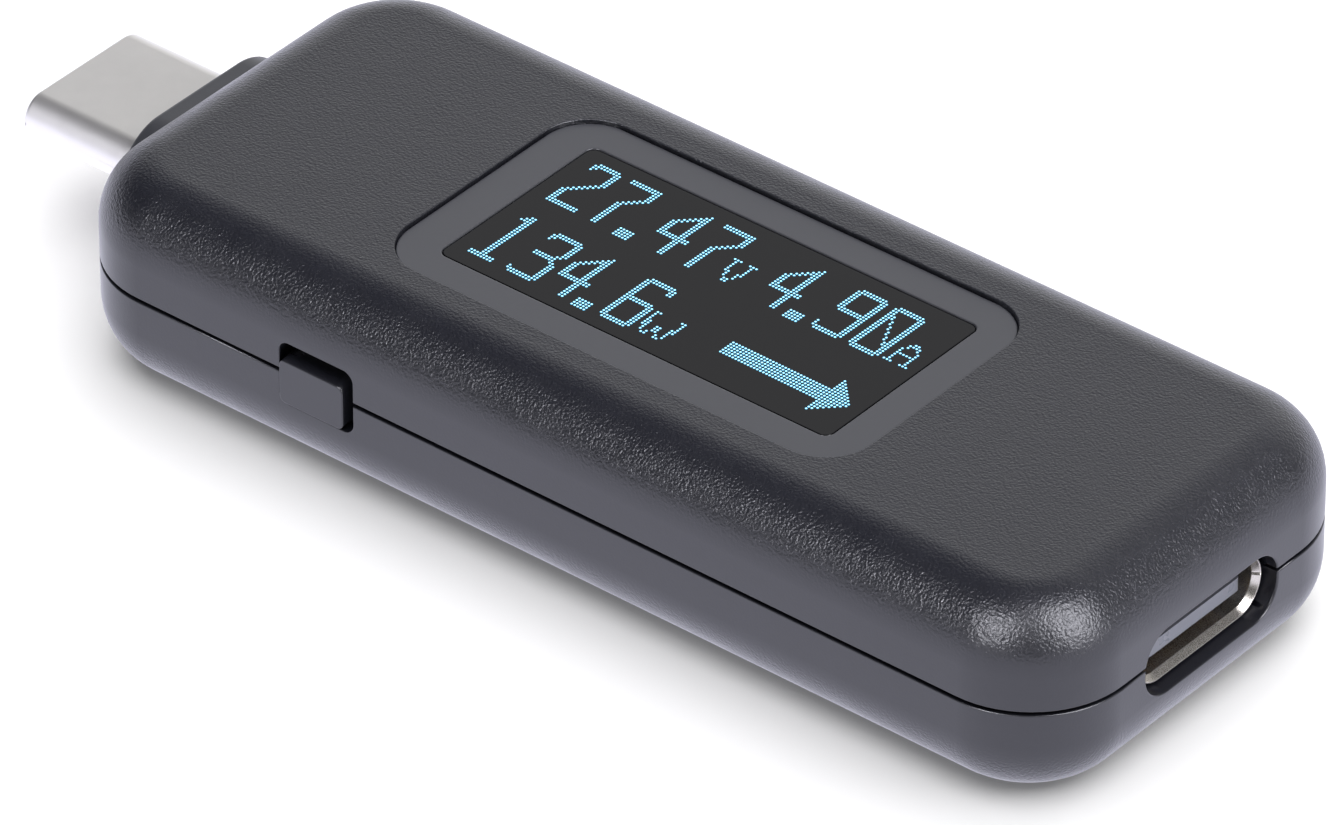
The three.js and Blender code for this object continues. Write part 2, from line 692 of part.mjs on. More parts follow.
function socketShell() {
  const shell = tube(SOCKET_X, SOCKET_SIZE, SOCKET_WALL, FIT, SOCKET_Z);
  const [length, reach, thick] = SHELL_TAB;
  const bottom = BOARD_TOP + STACK;
  const inner = SOCKET_SIZE[0] / 2 - SOCKET_WALL;
  const tabs = SHELL_TAB_XS.flatMap((x) => [-1, 1].map((side) => block(
    [x, x + length],
    side > 0 ? [inner, inner + reach] : [-inner - reach, -inner],
    [bottom, bottom + thick],
  )));
  return join(shell, ...tabs);
}

function socketInsulator() {
  const play = 2 * (SOCKET_WALL + FIT);
  const core = plate(stadium(SOCKET_SIZE[0] - play, SOCKET_SIZE[1] - play), ...SOCKET_CORE_X);
  const [stepEnd, stepThick] = TONGUE_STEP;
  const start = SOCKET_CORE_X[0];
  const step = block([start, stepEnd], span(0, TONGUE_WIDTH), span(0, stepThick));
  const tongueOutline = roundedRectangle(TONGUE_FRONT - start, TONGUE_WIDTH, TONGUE_CORNER);
  const tongue = plate(tongueOutline, ...span(0, TONGUE_THICK));
  tongue.translate((start + TONGUE_FRONT) / 2, 0, 0);
  const slots = contactSlot([start - THROUGH, stepEnd + THROUGH], SOCKET_CONTACT);
  const plateSlot = block(
    [MID_PLATE_X[0] - FIT, MID_PLATE_X[1] + FIT],
    span(0, MID_PLATE_WIDTH + 2 * FIT),
    span(0, MID_PLATE_THICK + 2 * FIT),
  );
  return cut(join(alongX(core), step, tongue), ...slots, plateSlot).translate(0, 0, SOCKET_Z);
}

function socketMidPlate() {
  return block(MID_PLATE_X, span(0, MID_PLATE_WIDTH), span(SOCKET_Z, MID_PLATE_THICK));
}

// ---- electronics ----

// Where parts sit: on the board's top, or hanging under it.
function onTop(height) {
  return [BOARD_TOP + STACK, BOARD_TOP + STACK + height];
}

function underneath(height) {
  return [BOARD_BOTTOM - STACK - height, BOARD_BOTTOM - STACK];
}

// A chip with flat legs along its two long sides, hanging under the board.
function leggedChip({ x, y, size, legs, pitch }) {
  const [length, width, height] = size;
  const [bottom, top] = underneath(height);
  const body = block(span(x, length), span(y, width), [bottom, top - LEG_STANDOFF]);
  const pieces = [];
  for (let i = 0; i < legs; i += 1) {
    const xs = span(x + (i - (legs - 1) / 2) * pitch, pitch / 2);
    pieces.push(block(xs, span(y, width + 2 * LEG_REACH), [top - LEG_THICK, top]));
  }
  return join(body, ...pieces);
}

function chipPart(x, y, size, zs) {
  return block(span(x, size[0]), span(y, size[1]), zs);
}

// An inductor: a drum between two square ferrite flanges.
function inductor(x, y, size) {
  const [length, width, height] = size;
  const [bottom, top] = underneath(height);
  const drum = post(x, y, bottom, top, (length - INDUCTOR_FLANGE) / 2);
  const lower = block(span(x, length), span(y, width), [bottom, bottom + INDUCTOR_FLANGE]);
  const upper = block(span(x, length), span(y, width), [top - INDUCTOR_FLANGE, top]);
  return join(drum, lower, upper);
}

// A two-terminal chip part, with slightly thicker end caps.
function cappedChip(x, y, size, zs) {
  const [length, width] = size;
  const cap = length * END_CAP_SHARE;
  const body = block(span(x, length), span(y, width - 2 * FIT), [zs[0] + FIT, zs[1] - FIT]);
  const left = block([x - length / 2, x - length / 2 + cap], span(y, width), zs);
  const right = block([x + length / 2 - cap, x + length / 2], span(y, width), zs);
  return join(body, left, right);
}

// ---- assembly ----

const meter = new THREE.Group();
meter.name = "usb_power_meter";

function add(name, geometry, material) {
  const mesh = new THREE.Mesh(geometry, material.clone());
  mesh.name = name;
  meter.add(mesh);
}

add("upper_shell", upperShell(), MATERIALS.casing);
add("lower_shell", lowerShell(), MATERIALS.casing);

add("display_frame", displayFrame(), MATERIALS.panel);
add("display_lens", displayLens(), MATERIALS.lens);
add("oled_polariser", oledPolariser(), MATERIALS.screen);
add("oled_front_glass", oledFrontGlass(), MATERIALS.screen);
add("oled_rear_glass", oledRearGlass(), MATERIALS.screen);
add("oled_driver_chip", oledDriver(), MATERIALS.chip);
add("oled_ribbon", oledRibbon(), MATERIALS.polyimide);
add("foam_pad", foamPad(), MATERIALS.foam);

add("circuit_board", circuitBoard(), MATERIALS.board);

add("button_cap", buttonCap(), MATERIALS.button);
add("switch_body", switchBody(), MATERIALS.blackPlastic);
add("switch_cover", switchCover(), MATERIALS.nickel);
add("switch_plunger", switchPlunger(), MATERIALS.blackPlastic);
add("switch_leaf", switchLeaf(), MATERIALS.nickel);

add("plug_shell", plugShell(), MATERIALS.nickel);
add("plug_collar", plugCollar(), MATERIALS.collar);
add("plug_insulator", plugInsulator(), MATERIALS.blackPlastic);
add("plug_latch_left", plugLatch(1), MATERIALS.nickel);
add("plug_latch_right", plugLatch(-1), MATERIALS.nickel);
add("plug_contacts_upper", plugContactsUpper(), MATERIALS.gold);
add("plug_contacts_lower", plugContactsLower(), MATERIALS.gold);

add("socket_shell", socketShell(), MATERIALS.nickel);
add("socket_insulator", socketInsulator(), MATERIALS.tongue);
add("socket_mid_plate", socketMidPlate(), MATERIALS.nickel);
add("socket_contacts_upper", socketContactsUpper(), MATERIALS.gold);
add("socket_contacts_lower", socketContactsLower(), MATERIALS.gold);

for (const [name, chip] of [
  ["microcontroller", MICROCONTROLLER],
  ["sense_amplifier", AMPLIFIER],
  ["voltage_regulator", REGULATOR],
]) {
  add(name, leggedChip(chip), MATERIALS.chip);
}
add("power_inductor", inductor(INDUCTOR.x, INDUCTOR.y, INDUCTOR.size), MATERIALS.chip);
add(
  "shunt_resistor",
  chipPart(SHUNT.x, SHUNT.y, SHUNT.size, onTop(SHUNT.size[2])),
  MATERIALS.nickel,
);
add(
  "surge_diode",
  chipPart(SURGE_DIODE.x, SURGE_DIODE.y, SURGE_DIODE.size, underneath(SURGE_DIODE.size[2])),
  MATERIALS.chip,
);
add(
  "crystal",
  chipPart(CRYSTAL.x, CRYSTAL.y, CRYSTAL.size, underneath(CRYSTAL.size[2])),
  MATERIALS.nickel,
);
CAPACITOR_PLACES.forEach(([x, y], i) => {
  const geometry = cappedChip(x, y, CAPACITOR_SIZE, underneath(CAPACITOR_SIZE[2]));
  add(`capacitor_${i + 1}`, geometry, MATERIALS.ceramic);
});
RESISTOR_PLACES.forEach(([x, y], i) => {
  const geometry = cappedChip(x, y, RESISTOR_SIZE, underneath(RESISTOR_SIZE[2]));
  add(`resistor_${i + 1}`, geometry, MATERIALS.chip);
});

export default meter;
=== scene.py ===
"""Looks for the inline USB-C power meter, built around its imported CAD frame.

Everything is in metres. +X points from the plug to the socket, -Y is the side with the button,
+Z is up, and the origin is the centre of the casing's flat underside.
"""

import json
import math

import bmesh
import bpy
from mathutils import Matrix, Vector


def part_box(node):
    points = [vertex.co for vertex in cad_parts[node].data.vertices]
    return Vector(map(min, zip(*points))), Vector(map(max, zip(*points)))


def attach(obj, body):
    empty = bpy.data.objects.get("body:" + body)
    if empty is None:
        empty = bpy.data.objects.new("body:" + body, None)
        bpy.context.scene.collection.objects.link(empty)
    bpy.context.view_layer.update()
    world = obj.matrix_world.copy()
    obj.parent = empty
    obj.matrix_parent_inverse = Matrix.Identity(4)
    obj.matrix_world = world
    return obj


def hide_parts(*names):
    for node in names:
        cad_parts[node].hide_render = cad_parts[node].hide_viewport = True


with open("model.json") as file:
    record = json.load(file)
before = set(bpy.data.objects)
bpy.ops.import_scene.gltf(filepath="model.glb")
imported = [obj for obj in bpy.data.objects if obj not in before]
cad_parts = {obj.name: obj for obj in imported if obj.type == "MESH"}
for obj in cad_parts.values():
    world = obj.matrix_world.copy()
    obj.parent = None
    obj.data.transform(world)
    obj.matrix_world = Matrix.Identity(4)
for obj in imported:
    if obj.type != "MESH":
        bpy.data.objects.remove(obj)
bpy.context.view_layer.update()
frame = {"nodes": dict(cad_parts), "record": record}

MM = 0.001

# ---- sizes that the frame's boxes give ----

shell_low, shell_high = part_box("lower_shell")
roof_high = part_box("upper_shell")[1].z
panel_low, panel_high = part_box("display_frame")
lens_low, lens_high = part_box("display_lens")
plug_low, plug_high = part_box("plug_shell")
collar_low, collar_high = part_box("plug_collar")
socket_low, socket_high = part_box("socket_shell")
button_low, button_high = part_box("button_cap")

CASE_LENGTH = shell_high.x - shell_low.x
CASE_WIDTH = shell_high.y - shell_low.y
CASE_HEIGHT = roof_high
END_X = shell_high.x
SIDE_Y = shell_low.y

# ---- sizes of the casing's details ----

CASE_CORNER = 5.1 * MM
CASE_WALL = 1.4 * MM
CASE_SKIN = 1.2 * MM
EDGE_RISE = 3.3 * MM
TOP_EDGE = 3.15 * MM
BOTTOM_EDGE = 2.8 * MM
INNER_RISE = 2.3 * MM
INNER_EDGE = 2.1 * MM
PARTING_Z = 5.18 * MM
PARTING_GAP = 0.18 * MM
LIP_HEIGHT = 0.6 * MM
LIP_OUTER = 0.75 * MM
RIM_SOFTNESS = 0.07 * MM
REBATE_GAP = 0.12 * MM  # between the lip and the upper shell's rebate
SOCKET_Z = 4.85 * MM
SOCKET_OPENING = (9.45 * MM, 3.45 * MM)
SOCKET_OPENING_CORNER = 1.6 * MM
SOCKET_FLARE = 0.09 * MM
PLUG_Z = 5.06 * MM
COLLAR_SIZE = (11.3 * MM, 5.8 * MM)
COLLAR_EDGE = 0.3 * MM
COLLAR_GAP = 0.04 * MM  # from the casing to the collar, and from the collar to the plug
COLLAR_HOLE_EDGE = 0.1 * MM
COLLAR_FLANGE = 0.55 * MM  # thickness
COLLAR_CUT_PAST = (1 * MM, 0.5 * MM)  # how far its cutter runs past the collar's two ends
PANEL_CORNER = 2.5 * MM
PANEL_EDGE = 0.06 * MM
RECESS_GAP = 0.05 * MM  # round the panel
RECESS_DROP = 0.03 * MM  # under the panel
WINDOW_CORNER = 0.5 * MM
LENS_GAP = 0.04 * MM
SIGHT_MARGIN = 0.6 * MM  # how far the sight opening runs past the lens on each side
SIGHT_Z = (8 * MM, 9.8 * MM)  # its cutter's lower and upper ends
EDGE_SUPPORT = 0.03 * MM  # beside a rounded edge, so that its shading stays off the flat
OPENING_FLARE = 0.06 * MM  # rounding of the rims of the recess and the button's opening
CUTTER_REACH = 1 * MM  # how far a cutter stands out of the surface that it cuts
BUTTON_OPENING_X = (-15.05 * MM, -10.75 * MM)
BUTTON_OPENING_Z = (3.5 * MM, 6.8 * MM)
BUTTON_OPENING_CORNER = 0.55 * MM
BUTTON_X = (-15.03 * MM, -11.25 * MM)
BUTTON_Z = (3.52 * MM, 6.0 * MM)
BUTTON_CORNER = 0.5 * MM
BUTTON_FRONT_CORNER = 0.36 * MM
# How far the cap's front comes in from its left, right, lower and upper sides, and over what depth.
BUTTON_CHAMFER = (0.02 * MM, 0.02 * MM, 0.02 * MM, 0.14 * MM)
BUTTON_CHAMFER_DEPTH = 0.45 * MM
BUTTON_EDGE = 0.07 * MM  # rounding all round the front
FLANGE_FRONT_Y = -10.1 * MM
FLANGE_CORNER = 0.2 * MM
PLUG_WALL = 0.35 * MM
PLUG_TIP_ROUND = 0.28 * MM
PLUG_LEAD_IN = (0.05 * MM, 0.05 * MM)
SOCKET_WALL = 0.3 * MM
SOCKET_RIM_ROUND = 0.03 * MM
SOCKET_LEAD_IN = (0.22 * MM, 0.33 * MM)
SOCKET_WIDER = 5.78 * MM  # width of the socket's shell over its height; tabs widen its CAD box
LEAD_IN_SHARES = (0, 0.06, 0.94, 1)  # rings down a lead-in, near its edges so that it stays flat

# ---- steps round the edges ----

ROUND_STEPS = 16  # a quarter of the casing's outline, and of a stadium's end
CASE_EDGE_STEPS = 14
INNER_EDGE_STEPS = 8
SOFT_EDGE_STEPS = 3
BUTTON_EDGE_STEPS = 4
FLARE_STEPS = 4
COLLAR_EDGE_STEPS = 5
TUBE_EDGE_STEPS = 6
SHARP_ANGLE = math.radians(35)

# ---- camera ----

CAMERA_AZIMUTH = 39.39  # degrees from +Y towards -X that the camera looks along
CAMERA_ELEVATION = 35.65
CAMERA_DISTANCE = 556.85 * MM
CAMERA_SIDEWAYS = -1.887 * MM
CAMERA_RAISED = 2.744 * MM
CAMERA_AIM_X = 0.25 * MM
CAMERA_LENS = 335.3
SENSOR_WIDTH = 36


def view_axes(azimuth, elevation):
    """The camera's right, up and back directions."""
    azimuth = math.radians(azimuth)
    elevation = math.radians(elevation)
    right = Vector((math.cos(azimuth), math.sin(azimuth), 0))
    flat_back = Vector((math.sin(azimuth), -math.cos(azimuth), 0))
    back = flat_back * math.cos(elevation) + Vector((0, 0, math.sin(elevation)))
    return right, back.cross(right), back


def make_camera():
    right, up, back = view_axes(CAMERA_AZIMUTH, CAMERA_ELEVATION)
    data = bpy.data.cameras.new("camera")
    data.lens = CAMERA_LENS
    data.sensor_width = SENSOR_WIDTH
    data.clip_start = 0.01
    data.clip_end = 20
    camera = bpy.data.objects.new("camera", data)
    bpy.context.scene.collection.objects.link(camera)
    place = back * CAMERA_DISTANCE + right * CAMERA_SIDEWAYS + up * CAMERA_RAISED
    place.x += CAMERA_AIM_X
    matrix = Matrix((right, up, back)).transposed().to_4x4()
    camera.matrix_world = Matrix.Translation(place) @ matrix
    bpy.context.scene.camera = camera


# ---- mesh helpers ----


def rounded_rectangle(width, height, radius, steps=12):
    """Points of a rounded rectangle about the origin, anticlockwise from its right side's top."""
    points = []
    for quarter in range(4):
        sign_x = 1 if quarter in (0, 3) else -1
        sign_y = 1 if quarter in (0, 1) else -1
        centre_x = sign_x * (width / 2 - radius)
        centre_y = sign_y * (height / 2 - radius)
        for step in range(steps + 1):
            angle = (quarter + step / steps) * math.pi / 2
            points.append(
                (centre_x + radius * math.cos(angle), centre_y + radius * math.sin(angle))
            )
    return points


def new_object(name, mesh):
    piece = bpy.data.objects.new(name, mesh)
    bpy.context.scene.collection.objects.link(piece)
    return piece


def skin(name, rings, ring_closed=False):
    """A closed mesh over rings that have as many points each.

    The ends get caps, unless the rings form a loop.
    """
    form = bmesh.new()
    rows = [[form.verts.new(point) for point in ring] for ring in rings]
    count = len(rows[0])
    pairs = list(zip(rows, rows[1:]))
    if ring_closed:
        pairs.append((rows[-1], rows[0]))
    for lower, upper in pairs:
        for i in range(count):
            j = (i + 1) % count
            form.faces.new((lower[i], lower[j], upper[j], upper[i]))
    if not ring_closed:
        form.faces.new(list(reversed(rows[0])))
        form.faces.new(rows[-1])
    bmesh.ops.recalc_face_normals(form, faces=form.faces)
    mesh = bpy.data.meshes.new(name)
    form.to_mesh(mesh)
    form.free()
    return new_object(name, mesh)


def flat_ring(outline, z, x=0.0):
    """A ring that faces up: the outline's width lies along X and its height along Y."""
    return [Vector((x + u, v, z)) for u, v in outline]


def end_ring(outline, x, z):
    """A ring that faces along X: the outline's width lies along Y and its height along Z."""
    return [Vector((x, u, z + v)) for u, v in outline]


def side_ring(outline, y, x, z):
    """A ring that faces along Y: the outline's width lies along X and its height along Z."""
    return [Vector((x + u, y, z + v)) for u, v in outline]


def quarter_round(steps):
    """Pairs from (0, 0) to (1, 1) round a quarter circle: the share across, and the share along."""
    angles = [math.pi / 2 * i / steps for i in range(steps + 1)]
    return [(1 - math.cos(angle), math.sin(angle)) for angle in angles]


def apply_modifiers(piece):
    graph = bpy.context.evaluated_depsgraph_get()
    made = bpy.data.meshes.new_from_object(piece.evaluated_get(graph))
    made.name = piece.name
    piece.modifiers.clear()
    piece.data = made


def weigh_normals(piece):
    weighted = piece.modifiers.new("weighted", "WEIGHTED_NORMAL")
    weighted.keep_sharp = True


def settle(piece):
    """Shades the piece smooth, and keeps its flat faces flat and its sharp edges sharp."""
    weigh_normals(piece)
    bpy.context.view_layer.update()
    piece.data.shade_smooth()
    apply_modifiers(piece)
    piece.data.set_sharp_from_angle(angle=SHARP_ANGLE)
    weigh_normals(piece)
    apply_modifiers(piece)


def cut(piece, *cutters):
    """Takes the cutters out of the piece, and removes them."""
    for cutter in cutters:
        modifier = piece.modifiers.new("cut", "BOOLEAN")
        modifier.operation = "DIFFERENCE"
        modifier.solver = "EXACT"
        modifier.object = cutter
    bpy.context.view_layer.update()
    apply_modifiers(piece)
    for cutter in cutters:
        bpy.data.objects.remove(cutter)


# ---- materials ----

GRAIN_SIZE = 0.13 * MM
GRAIN_FADES = (2.0 * MM, 3.5 * MM)  # heights from the casing's middle where the grain starts
GRAIN_EASES = (4.7 * MM, 5.1 * MM)  # and where it eases off towards the flat roof
GRAIN_DEPTH = 0.045 * MM
WALL_GRAIN = 0.1  # share of the grain's depth
ROOF_GRAIN = 0.9
CASING_COLOUR = (0.0112, 0.0117, 0.0165)
CASING_TONES = (0.85, 1.15)
CASING_ROUGHNESS = 0.32
CASING_ROUGHNESS_RANGE = (0.28, 0.33)
NOISE_RANGE = (0.3, 0.7)  # where nearly all of a noise field lies
PLATING_SHIFT = 0.05  # of tone


def new_material(name, colour, roughness, metallic=0.0):
    material = bpy.data.materials.new(name)
    material.use_nodes = True
    shader = material.node_tree.nodes["Principled BSDF"]
    shader.inputs["Base Color"].default_value = (*colour, 1)
    shader.inputs["Roughness"].default_value = roughness
    shader.inputs["Metallic"].default_value = metallic
    return material


def shader_of(material):
    return material.node_tree.nodes["Principled BSDF"]


def add_node(material, kind, **settings):
    node = material.node_tree.nodes.new(kind)
    for key, value in settings.items():
        setattr(node, key, value)
    return node


def noise(material, size, detail, stretch=(1, 1, 1)):
    """Noise whose features are about size across, in object space."""
    place = add_node(material, "ShaderNodeTexCoord")
    scale = add_node(material, "ShaderNodeMapping")
    scale.inputs["Scale"].default_value = stretch
    field = add_node(material, "ShaderNodeTexNoise")
    field.inputs["Scale"].default_value = 1 / size
    field.inputs["Detail"].default_value = detail
    links = material.node_tree.links
    links.new(place.outputs["Object"], scale.inputs["Vector"])
    links.new(scale.outputs["Vector"], field.inputs["Vector"])
    return field.outputs["Fac"]


def spread(material, field, low, high):
    """Maps a noise field onto the range from low to high."""
    node = add_node(material, "ShaderNodeMapRange")
    node.inputs["From Min"].default_value = NOISE_RANGE[0]
    node.inputs["From Max"].default_value = NOISE_RANGE[1]
    node.inputs["To Min"].default_value = low
    node.inputs["To Max"].default_value = high
    material.node_tree.links.new(field, node.inputs["Value"])
    return node.outputs["Result"]


def vary_colour(material, field, dark, light):
    node = add_node(material, "ShaderNodeMix", data_type="RGBA")
    node.inputs["A"].default_value = (*dark, 1)
    node.inputs["B"].default_value = (*light, 1)
    links = material.node_tree.links
    links.new(field, node.inputs["Factor"])
    links.new(node.outputs["Result"], shader_of(material).inputs["Base Color"])


def vary_roughness(material, field, low, high):
    result = spread(material, field, low, high)
    material.node_tree.links.new(result, shader_of(material).inputs["Roughness"])


def bump(material, field, depth, strength=1.0):
    node = add_node(material, "ShaderNodeBump")
    node.inputs["Strength"].default_value = strength
    node.inputs["Distance"].default_value = depth
    links = material.node_tree.links
    links.new(field, node.inputs["Height"])
    links.new(node.outputs["Normal"], shader_of(material).inputs["Normal"])


def moulded(name, colour, roughness, grain, depth, shift=0.12, ior=1.5):
    """Moulded plastic: fine spark-eroded grain, with faint changes of tone and gloss."""
    material = new_material(name, colour, roughness)
    shader_of(material).inputs["IOR"].default_value = ior
    dark = [c * (1 - shift) for c in colour]
    light = [c * (1 + shift) for c in colour]
    vary_colour(material, noise(material, 3 * grain, 3), dark, light)
    vary_roughness(material, noise(material, 2 * MM, 3), roughness - 0.03, roughness + 0.03)
    bump(material, noise(material, grain, 2.5), depth)
    return material


def plated(name, colour, roughness, stretch=(1, 1, 1), depth=0.002 * MM):
    """Plated or stamped metal, with a faint brushed run along one direction."""
    material = new_material(name, colour, roughness, 1.0)
    dark = [c * (1 - PLATING_SHIFT) for c in colour]
    light = [min(1, c * (1 + PLATING_SHIFT)) for c in colour]
    vary_colour(material, noise(material, 1.5 * MM, 3), dark, light)
    field = noise(material, 0.08 * MM, 2, stretch)
    vary_roughness(material, field, roughness - 0.05, roughness + 0.07)
    bump(material, field, depth)
    return material


def casing_material():
    """Grained plastic: the grain is deep on the roof and its edge, and faint on the walls."""
    material = new_material("casing_plastic", CASING_COLOUR, CASING_ROUGHNESS)
    shader = shader_of(material)
    shader.inputs["IOR"].default_value = 1.6
    dark, light = ([tone * c for c in CASING_COLOUR] for tone in CASING_TONES)
    vary_colour(material, noise(material, 0.5 * MM, 3), dark, light)
    vary_roughness(material, noise(material, 2 * MM, 3), *CASING_ROUGHNESS_RANGE)
    links = material.node_tree.links
    place = add_node(material, "ShaderNodeTexCoord")
    split = add_node(material, "ShaderNodeSeparateXYZ")
    level = add_node(material, "ShaderNodeMath", operation="SUBTRACT")
    level.inputs[1].default_value = CASE_HEIGHT / 2
    away = add_node(material, "ShaderNodeMath", operation="ABSOLUTE")
    mask = add_node(material, "ShaderNodeMapRange", interpolation_type="SMOOTHSTEP")
    mask.inputs["From Min"].default_value = GRAIN_FADES[0]
    mask.inputs["From Max"].default_value = GRAIN_FADES[1]
    mask.inputs["To Min"].default_value = WALL_GRAIN
    mask.inputs["To Max"].default_value = 1.0
    flat = add_node(material, "ShaderNodeMapRange")
    flat.inputs["From Min"].default_value = GRAIN_EASES[0]
    flat.inputs["From Max"].default_value = GRAIN_EASES[1]
    flat.inputs["To Min"].default_value = 1.0
    flat.inputs["To Max"].default_value = ROOF_GRAIN
    depth = add_node(material, "ShaderNodeMath", operation="MULTIPLY")
    grain = add_node(material, "ShaderNodeMath", operation="MULTIPLY")
    links.new(place.outputs["Object"], split.inputs["Vector"])
    links.new(split.outputs["Z"], level.inputs[0])
    links.new(level.outputs["Value"], away.inputs[0])
    links.new(away.outputs["Value"], mask.inputs["Value"])
    links.new(away.outputs["Value"], flat.inputs["Value"])
    links.new(mask.outputs["Result"], depth.inputs[0])
    links.new(flat.outputs["Result"], depth.inputs[1])
    links.new(depth.outputs["Value"], grain.inputs[0])
    links.new(noise(material, GRAIN_SIZE, 2.5), grain.inputs[1])
    bump(material, grain.outputs["Value"], GRAIN_DEPTH)
    return material


def panel_material():
    return moulded("panel_plastic", (0.043, 0.044, 0.049), 0.36, 0.1 * MM, 0.001 * MM, 0.03)


def lens_material():
    """Clear pane over a bonded black screen: seen from outside it is black with a clean gloss."""
    material = new_material("lens_black", (0.0035, 0.0035, 0.0042), 0.03)
    shader_of(material).inputs["IOR"].default_value = 1.31
    vary_roughness(material, noise(material, 4 * MM, 3), 0.02, 0.05)
    bump(material, noise(material, 6 * MM, 1), 0.0004 * MM, 0.3)
    return material


def glowing(name, colour, strength):
    material = new_material(name, [0.1 * c for c in colour], 0.5)
    shader = shader_of(material)
    shader.inputs["Emission Color"].default_value = (*colour, 1)
    shader.inputs["Emission Strength"].default_value = strength
    bump(material, noise(material, 0.1 * MM, 1), 0.0005 * MM, 0.2)
    return material


# ---- casing ----


def case_ring(inset, z):
    outline = rounded_rectangle(
        CASE_LENGTH - 2 * inset, CASE_WIDTH - 2 * inset, CASE_CORNER - inset, ROUND_STEPS
    )
    return flat_ring(outline, z)


def flared(outline_of, surface, inward, depth, flare):
    """Levels of a cutter that rounds its opening's rim where it meets a flat surface.

    outline_of(grow) gives the outline; inward is the sign of the way in along the cutting axis.
    """
    levels = [(surface + inward * depth, outline_of(0))]
    levels += [
        (surface + inward * flare * (1 - along), outline_of(flare * across))
        for across, along in quarter_round(FLARE_STEPS)
    ]
    levels.append((surface - inward * CUTTER_REACH, outline_of(flare)))
    return levels


def panel_cutter():
    centre_x = (panel_low.x + panel_high.x) / 2

    def outline(grow):
        grow += RECESS_GAP
        return rounded_rectangle(
            panel_high.x - panel_low.x + 2 * grow,
            panel_high.y - panel_low.y + 2 * grow,
            PANEL_CORNER + grow,
        )

    floor_z = panel_low.z - RECESS_DROP
    levels = flared(outline, CASE_HEIGHT, -1, CASE_HEIGHT - floor_z, OPENING_FLARE)
    return skin("cutter", [flat_ring(points, z, centre_x) for z, points in levels])


def sight_cutter():
    centre_x = (lens_low.x + lens_high.x) / 2
    outline = rounded_rectangle(
        lens_high.x - lens_low.x + 2 * SIGHT_MARGIN,
        lens_high.y - lens_low.y + 2 * SIGHT_MARGIN,
        WINDOW_CORNER,
    )
    return skin("cutter", [flat_ring(outline, z, centre_x) for z in SIGHT_Z])


def socket_cutter():
    width, height = SOCKET_OPENING

    def outline(grow):
        return rounded_rectangle(width + 2 * grow, height + 2 * grow, SOCKET_OPENING_CORNER + grow)

    levels = flared(outline, END_X, -1, 2 * CASE_WALL, SOCKET_FLARE)
    return skin("cutter", [end_ring(points, x, SOCKET_Z) for x, points in levels])


def collar_cutter():
    width, height = (size + 2 * COLLAR_GAP for size in COLLAR_SIZE)
    outline = rounded_rectangle(width, height, height / 2)
    xs = (collar_low.x - COLLAR_CUT_PAST[0], collar_high.x + COLLAR_CUT_PAST[1])
    return skin("cutter", [end_ring(outline, x, PLUG_Z) for x in xs])


def button_cutter():
    x0, x1 = BUTTON_OPENING_X
    z0, z1 = BUTTON_OPENING_Z

    def outline(grow):
        return rounded_rectangle(
            x1 - x0 + 2 * grow, z1 - z0 + 2 * grow, BUTTON_OPENING_CORNER + grow
        )

    levels = flared(outline, SIDE_Y, 1, 2 * CASE_WALL, OPENING_FLARE)
    centre = ((x0 + x1) / 2, (z0 + z1) / 2)
    return skin("cutter", [side_ring(points, y, *centre) for y, points in levels])


def lower_casing():
    rim = PARTING_Z - PARTING_GAP / 2
    inner = [case_ring(CASE_WALL, rim + LIP_HEIGHT)]
    inner += [
        case_ring(CASE_WALL + INNER_EDGE * across, CASE_SKIN + INNER_RISE * (1 - along))
        for across, along in quarter_round(INNER_EDGE_STEPS)
    ]
    outer = [case_ring(LIP_OUTER, rim + LIP_HEIGHT), case_ring(LIP_OUTER, rim)]
    outer += [
        case_ring(RIM_SOFTNESS * (1 - along), rim - RIM_SOFTNESS * across)
        for across, along in quarter_round(SOFT_EDGE_STEPS)
    ]
    outer += [
        case_ring(BOTTOM_EDGE * across, EDGE_RISE * (1 - along))
        for across, along in quarter_round(CASE_EDGE_STEPS)
    ]
    return skin("casing_lower", list(reversed(inner)) + outer)


def upper_casing():
    rim = PARTING_Z + PARTING_GAP / 2
    roof = CASE_HEIGHT - CASE_SKIN
    rebate_top = PARTING_Z + LIP_HEIGHT + PARTING_GAP
    rebate = LIP_OUTER - REBATE_GAP
    inner = [
        case_ring(CASE_WALL + INNER_EDGE * across, roof - INNER_RISE * (1 - along))
        for across, along in reversed(quarter_round(INNER_EDGE_STEPS))
    ]
    inner += [
        case_ring(CASE_WALL, rebate_top),
        case_ring(rebate, rebate_top),
        case_ring(rebate, rim),
    ]
    outer = [
        case_ring(RIM_SOFTNESS * (1 - along), rim + RIM_SOFTNESS * across)
        for across, along in quarter_round(SOFT_EDGE_STEPS)
    ]
    outer += [
        case_ring(TOP_EDGE * across, CASE_HEIGHT - EDGE_RISE * (1 - along))
        for across, along in quarter_round(CASE_EDGE_STEPS)
    ]
    return skin("casing_upper", inner + outer)


def make_casing():
    material = casing_material()
    lower = lower_casing()
    cut(lower, socket_cutter(), collar_cutter(), button_cutter())
    upper = upper_casing()
    cut(upper, panel_cutter(), sight_cutter(), socket_cutter(), collar_cutter(), button_cutter())
    for piece, node in ((lower, "lower_shell"), (upper, "upper_shell")):
        settle(piece)
        piece.data.materials.clear()
        piece.data.materials.append(material)
        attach(piece, "casing")
        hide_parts(node)


# ---- display ----

